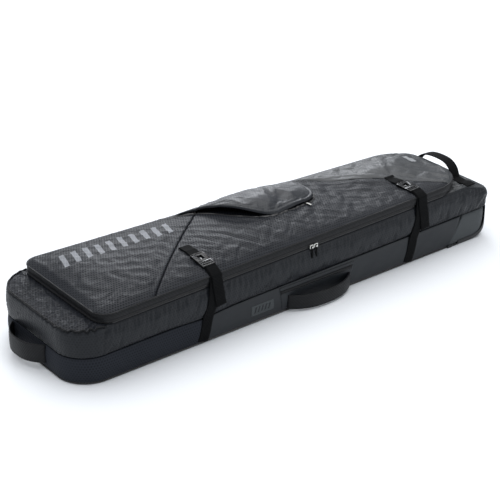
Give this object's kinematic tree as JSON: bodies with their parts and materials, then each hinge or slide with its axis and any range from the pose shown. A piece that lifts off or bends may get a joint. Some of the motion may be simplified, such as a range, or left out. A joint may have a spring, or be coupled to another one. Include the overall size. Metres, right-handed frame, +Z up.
{
  "type": "wheeled snowboard bag",
  "caption": "Padded tapered snowboard bag with a zipped hinged lid, lid pocket, compression straps with buckles, webbing handles and wheels at one end.",
  "frame": {"origin": "middle of the base panel's underside, on the floor plane", "axes": "+X from the foot end to the wheel end, -Y towards the side with the haul handle and the zip, +Z up"},
  "size_m": [1.7306, 0.4682, 0.285],
  "materials": {
    "ripstop": "charcoal ripstop polyester, light sheen",
    "tarpaulin": "smooth coated tarpaulin",
    "rubberised": "matte rubberised fabric",
    "webbing": "matte woven webbing",
    "pe_board": "polyethylene board",
    "zip_coil": "nylon coil",
    "buckle_plastic": "moulded acetal",
    "moulding": "injection-moulded polypropylene",
    "nickel": "nickel-plated zinc",
    "steel": "turned steel",
    "tyre_rubber": "matte polyurethane tread",
    "print": "light grey woven label"
  },
  "bodies": {
    "base": {"base_panel": "tarpaulin", "base_stiffener": "pe_board", "near_lower_wall": "tarpaulin", "far_lower_wall": "tarpaulin", "near_tail_panel": "rubberised", "far_tail_panel": "rubberised", "foot_lower_wall": "ripstop", "wheel_end_lower_wall": "rubberised", "near_upper_wall": "ripstop", "far_upper_wall": "ripstop", "foot_upper_wall": "ripstop", "wheel_end_upper_wall": "ripstop", "foot_deck": "ripstop", "wheel_deck": "ripstop", "foot_piping": "webbing", "zip_lower_half": "zip_coil", "hinge_fabric_lower": "ripstop", "side_badge": "tarpaulin", "side_handle_patch": "tarpaulin", "left_lower_strap": "webbing", "right_lower_strap": "webbing", "end_handle_tab_near": "webbing", "end_handle_tab_far": "webbing", "tail_guard": "moulding", "near_wheel_housing": "moulding", "far_wheel_housing": "moulding", "near_axle": "steel", "far_axle": "steel"},
    "lid": {"lid_front_panel": "ripstop", "lid_centre_panel": "ripstop", "lid_rear_panel": "ripstop", "lid_band": "webbing", "zip_upper_half": "zip_coil", "hinge_fabric_upper": "ripstop", "lid_pocket": "ripstop", "pocket_zip": "zip_coil", "lid_badge": "print", "left_upper_strap": "webbing", "right_upper_strap": "webbing", "left_buckle_socket": "buckle_plastic", "right_buckle_socket": "buckle_plastic"},
    "left_plug": {"left_buckle_plug": "buckle_plastic", "left_strap_tail": "webbing"},
    "right_plug": {"right_buckle_plug": "buckle_plastic", "right_strap_tail": "webbing"},
    "pocket_slider": {"pocket_slider": "nickel"},
    "foot_slider": {"zip_slider_foot": "nickel"},
    "foot_puller": {"zip_puller_foot": "webbing"},
    "wheel_slider": {"zip_slider_wheel": "nickel"},
    "wheel_puller": {"zip_puller_wheel": "webbing"},
    "side_handle": {"side_handle": "webbing"},
    "foot_handle": {"foot_handle": "webbing"},
    "wheel_end_handle": {"wheel_end_handle": "webbing"},
    "near_wheel": {"near_tyre": "tyre_rubber", "near_hub": "moulding", "near_bearing": "steel"},
    "far_wheel": {"far_tyre": "tyre_rubber", "far_hub": "moulding", "far_bearing": "steel"}
  },
  "joints": [
    {"name": "lid_hinge", "type": "hinge", "parent": "base", "child": "lid", "pos_m": [0, 0.195, 0.19272], "axis": [-0.999, 0.0416, -0.017], "range_deg": [0, 165], "deforming": ["left_lower_strap", "right_lower_strap"]},
    {"name": "left_buckle_release", "type": "slide", "parent": "lid", "child": "left_plug", "axis": [0.041, -0.984, -0.1733], "range_m": [0, 0.045]},
    {"name": "right_buckle_release", "type": "slide", "parent": "lid", "child": "right_plug", "axis": [0.0416, -0.999, -0.0149], "range_m": [0, 0.045]},
    {"name": "pocket_zip_slide", "type": "slide", "parent": "lid", "child": "pocket_slider", "axis": [-0.9839, -0.1718, 0.0488], "range_m": [0, 0.11]},
    {"name": "foot_zip_slide", "type": "slide", "parent": "base", "child": "foot_slider", "axis": [-0.999, -0.0416, -0.017], "range_m": [0, 0.33]},
    {"name": "foot_puller_swing", "type": "hinge", "parent": "foot_slider", "child": "foot_puller", "pos_m": [0.03374, -0.2001, 0.19229], "axis": [0.0416, -0.9991, 0], "range_deg": [-75, 8]},
    {"name": "wheel_zip_slide", "type": "slide", "parent": "base", "child": "wheel_slider", "axis": [0.999, 0.0416, 0.017], "range_m": [0, 0.4]},
    {"name": "wheel_puller_swing", "type": "hinge", "parent": "wheel_slider", "child": "wheel_puller", "pos_m": [0.05073, -0.19939, 0.19258], "axis": [0.0416, -0.9991, 0], "range_deg": [-8, 75]},
    {"name": "side_handle_swing", "type": "hinge", "parent": "base", "child": "side_handle", "pos_m": [0.06702, -0.19411, 0.056], "axis": [-0.9991, -0.0416, 0], "range_deg": [0, 75]},
    {"name": "foot_handle_swing", "type": "hinge", "parent": "base", "child": "foot_handle", "pos_m": [-0.8406, 0.025, 0.084], "axis": [0, 1, 0], "range_deg": [0, 75]},
    {"name": "wheel_end_handle_tip", "type": "hinge", "parent": "base", "child": "wheel_end_handle", "pos_m": [0.746, 0.013, 0.19964], "axis": [0, 1, 0], "range_deg": [-5, 60], "stiffness_Nm_per_rad": 0.08},
    {"name": "near_wheel_spin", "type": "hinge", "parent": "base", "child": "near_wheel", "pos_m": [0.794, -0.12192, 0.038], "axis": [0, 1, 0], "continuous": true},
    {"name": "far_wheel_spin", "type": "hinge", "parent": "base", "child": "far_wheel", "pos_m": [0.794, 0.12192, 0.038], "axis": [0, 1, 0], "continuous": true}
  ]
}
